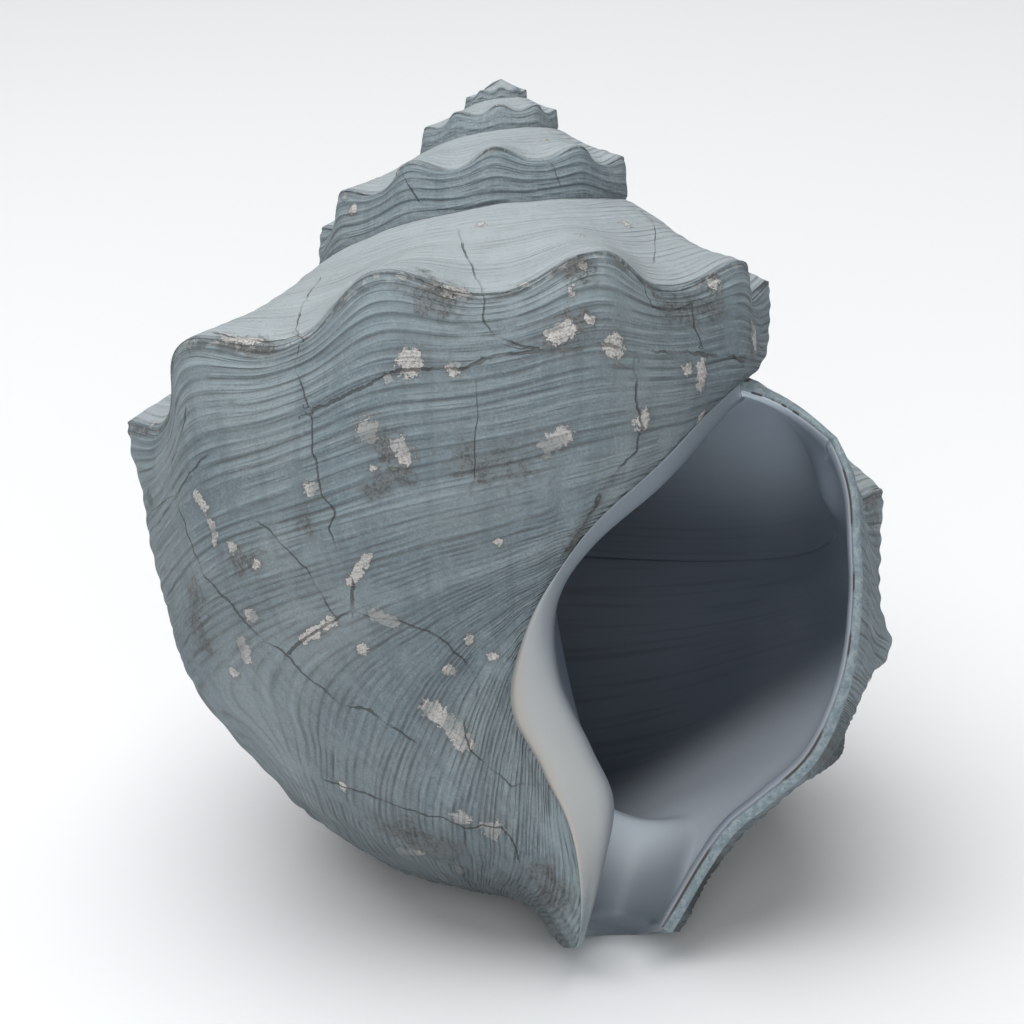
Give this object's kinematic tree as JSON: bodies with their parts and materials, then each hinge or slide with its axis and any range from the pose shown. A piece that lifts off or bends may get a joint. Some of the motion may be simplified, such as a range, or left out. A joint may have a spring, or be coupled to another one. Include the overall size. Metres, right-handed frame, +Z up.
{
  "type": "conch shell",
  "caption": "Weathered knobbed sea shell with a stepped spire, scalloped shoulder, wide open mouth and a short open canal.",
  "frame": {"origin": "centre of the bounding box at the level of the surface it stands on", "axes": "+Z up; the mouth faces -Y, the shell's axis leans back toward +Y; +X toward the outer lip"},
  "size_m": [0.1188, 0.0996, 0.1181],
  "materials": {
    "shell": "matte, weathered outside; smooth and glossy inside the mouth"
  },
  "bodies": {
    "root": {"shell": "shell"}
  },
  "joints": []
}
